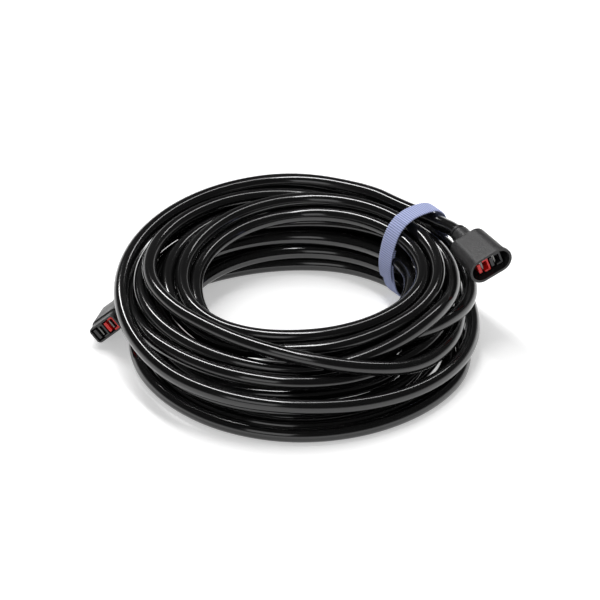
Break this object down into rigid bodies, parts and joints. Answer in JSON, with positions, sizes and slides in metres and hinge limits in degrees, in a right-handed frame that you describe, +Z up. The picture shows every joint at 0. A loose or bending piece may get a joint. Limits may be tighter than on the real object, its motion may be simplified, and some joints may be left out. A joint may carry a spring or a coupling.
{
  "type": "coiled dc extension cord",
  "caption": "Coiled two-core low-voltage power cord with a shrouded two-pole socket on one end, a matching plug on the other and a hook-and-loop strap.",
  "frame": {"origin": "on the floor under the centre of the whole object's bounding box", "axes": "+Z up; -Y is the front, where the coil's hole is seen past its near rim; the socket lies at +X and the plug at -X"},
  "size_m": [0.2344, 0.2018, 0.0595],
  "materials": {
    "cord_jacket": "gloss",
    "overmould": "fine satin texture",
    "strain_relief": "satin",
    "spacer": "matte",
    "red_housing": "semi-gloss",
    "black_housing": "semi-gloss",
    "red_insulation": "satin",
    "black_insulation": "satin",
    "contact_plating": "bright tin plate",
    "copper": "bare strands",
    "spring_steel": "rolled strip",
    "strap_webbing": "ribbed weave",
    "strap_hooks": "fine moulded hooks"
  },
  "bodies": {
    "lead": {"cord_coil": "cord_jacket", "socket_cord_tail": "cord_jacket", "plug_cord_tail": "cord_jacket", "strap_band": "strap_webbing", "socket_overmould": "overmould", "socket_core_spacer": "spacer", "socket_strain_relief": "strain_relief", "socket_red_pole_housing": "red_housing", "socket_red_core": "red_insulation", "socket_red_leaf_spring": "spring_steel", "socket_black_pole_housing": "black_housing", "socket_black_core": "black_insulation", "socket_black_leaf_spring": "spring_steel", "plug_overmould": "overmould", "plug_core_spacer": "spacer", "plug_strain_relief": "strain_relief", "plug_red_pole_housing": "red_housing", "plug_red_core": "red_insulation", "plug_red_leaf_spring": "spring_steel", "plug_black_pole_housing": "black_housing", "plug_black_core": "black_insulation", "plug_black_leaf_spring": "spring_steel"},
    "socket_red_contact": {"socket_red_contact": "contact_plating", "socket_red_copper_strands": "copper"},
    "socket_black_contact": {"socket_black_contact": "contact_plating", "socket_black_copper_strands": "copper"},
    "plug_red_contact": {"plug_red_contact": "contact_plating", "plug_red_copper_strands": "copper"},
    "plug_black_contact": {"plug_black_contact": "contact_plating", "plug_black_copper_strands": "copper"},
    "strap_free_end": {"strap_flap": "strap_webbing", "strap_hook_patch": "strap_hooks"}
  },
  "joints": [
    {"name": "socket_red_contact_flex", "type": "hinge", "parent": "lead", "child": "socket_red_contact", "pos_m": [0.0926, 0.01734, 0.04834], "axis": [0.2904, 0.1107, -0.9505], "range_deg": [0, 0.6], "stiffness_Nm_per_rad": 2},
    {"name": "socket_black_contact_flex", "type": "hinge", "parent": "lead", "child": "socket_black_contact", "pos_m": [0.09925, 0.02083, 0.05078], "axis": [0.2904, 0.1107, -0.9505], "range_deg": [0, 0.6], "stiffness_Nm_per_rad": 2},
    {"name": "plug_red_contact_flex", "type": "hinge", "parent": "lead", "child": "plug_red_contact", "pos_m": [-0.1007, 0.01095, 0.01312], "axis": [0.6436, -0.2757, -0.714], "range_deg": [0, 0.6], "stiffness_Nm_per_rad": 2},
    {"name": "plug_black_contact_flex", "type": "hinge", "parent": "lead", "child": "plug_black_contact", "pos_m": [-0.10634, 0.01188, 0.00767], "axis": [0.6436, -0.2757, -0.714], "range_deg": [0, 0.6], "stiffness_Nm_per_rad": 2},
    {"name": "strap_peel", "type": "hinge", "parent": "lead", "child": "strap_free_end", "pos_m": [0.04582, 0.03799, 0.042], "axis": [-0.6157, 0.788, 0], "range_deg": [0, 100]}
  ]
}
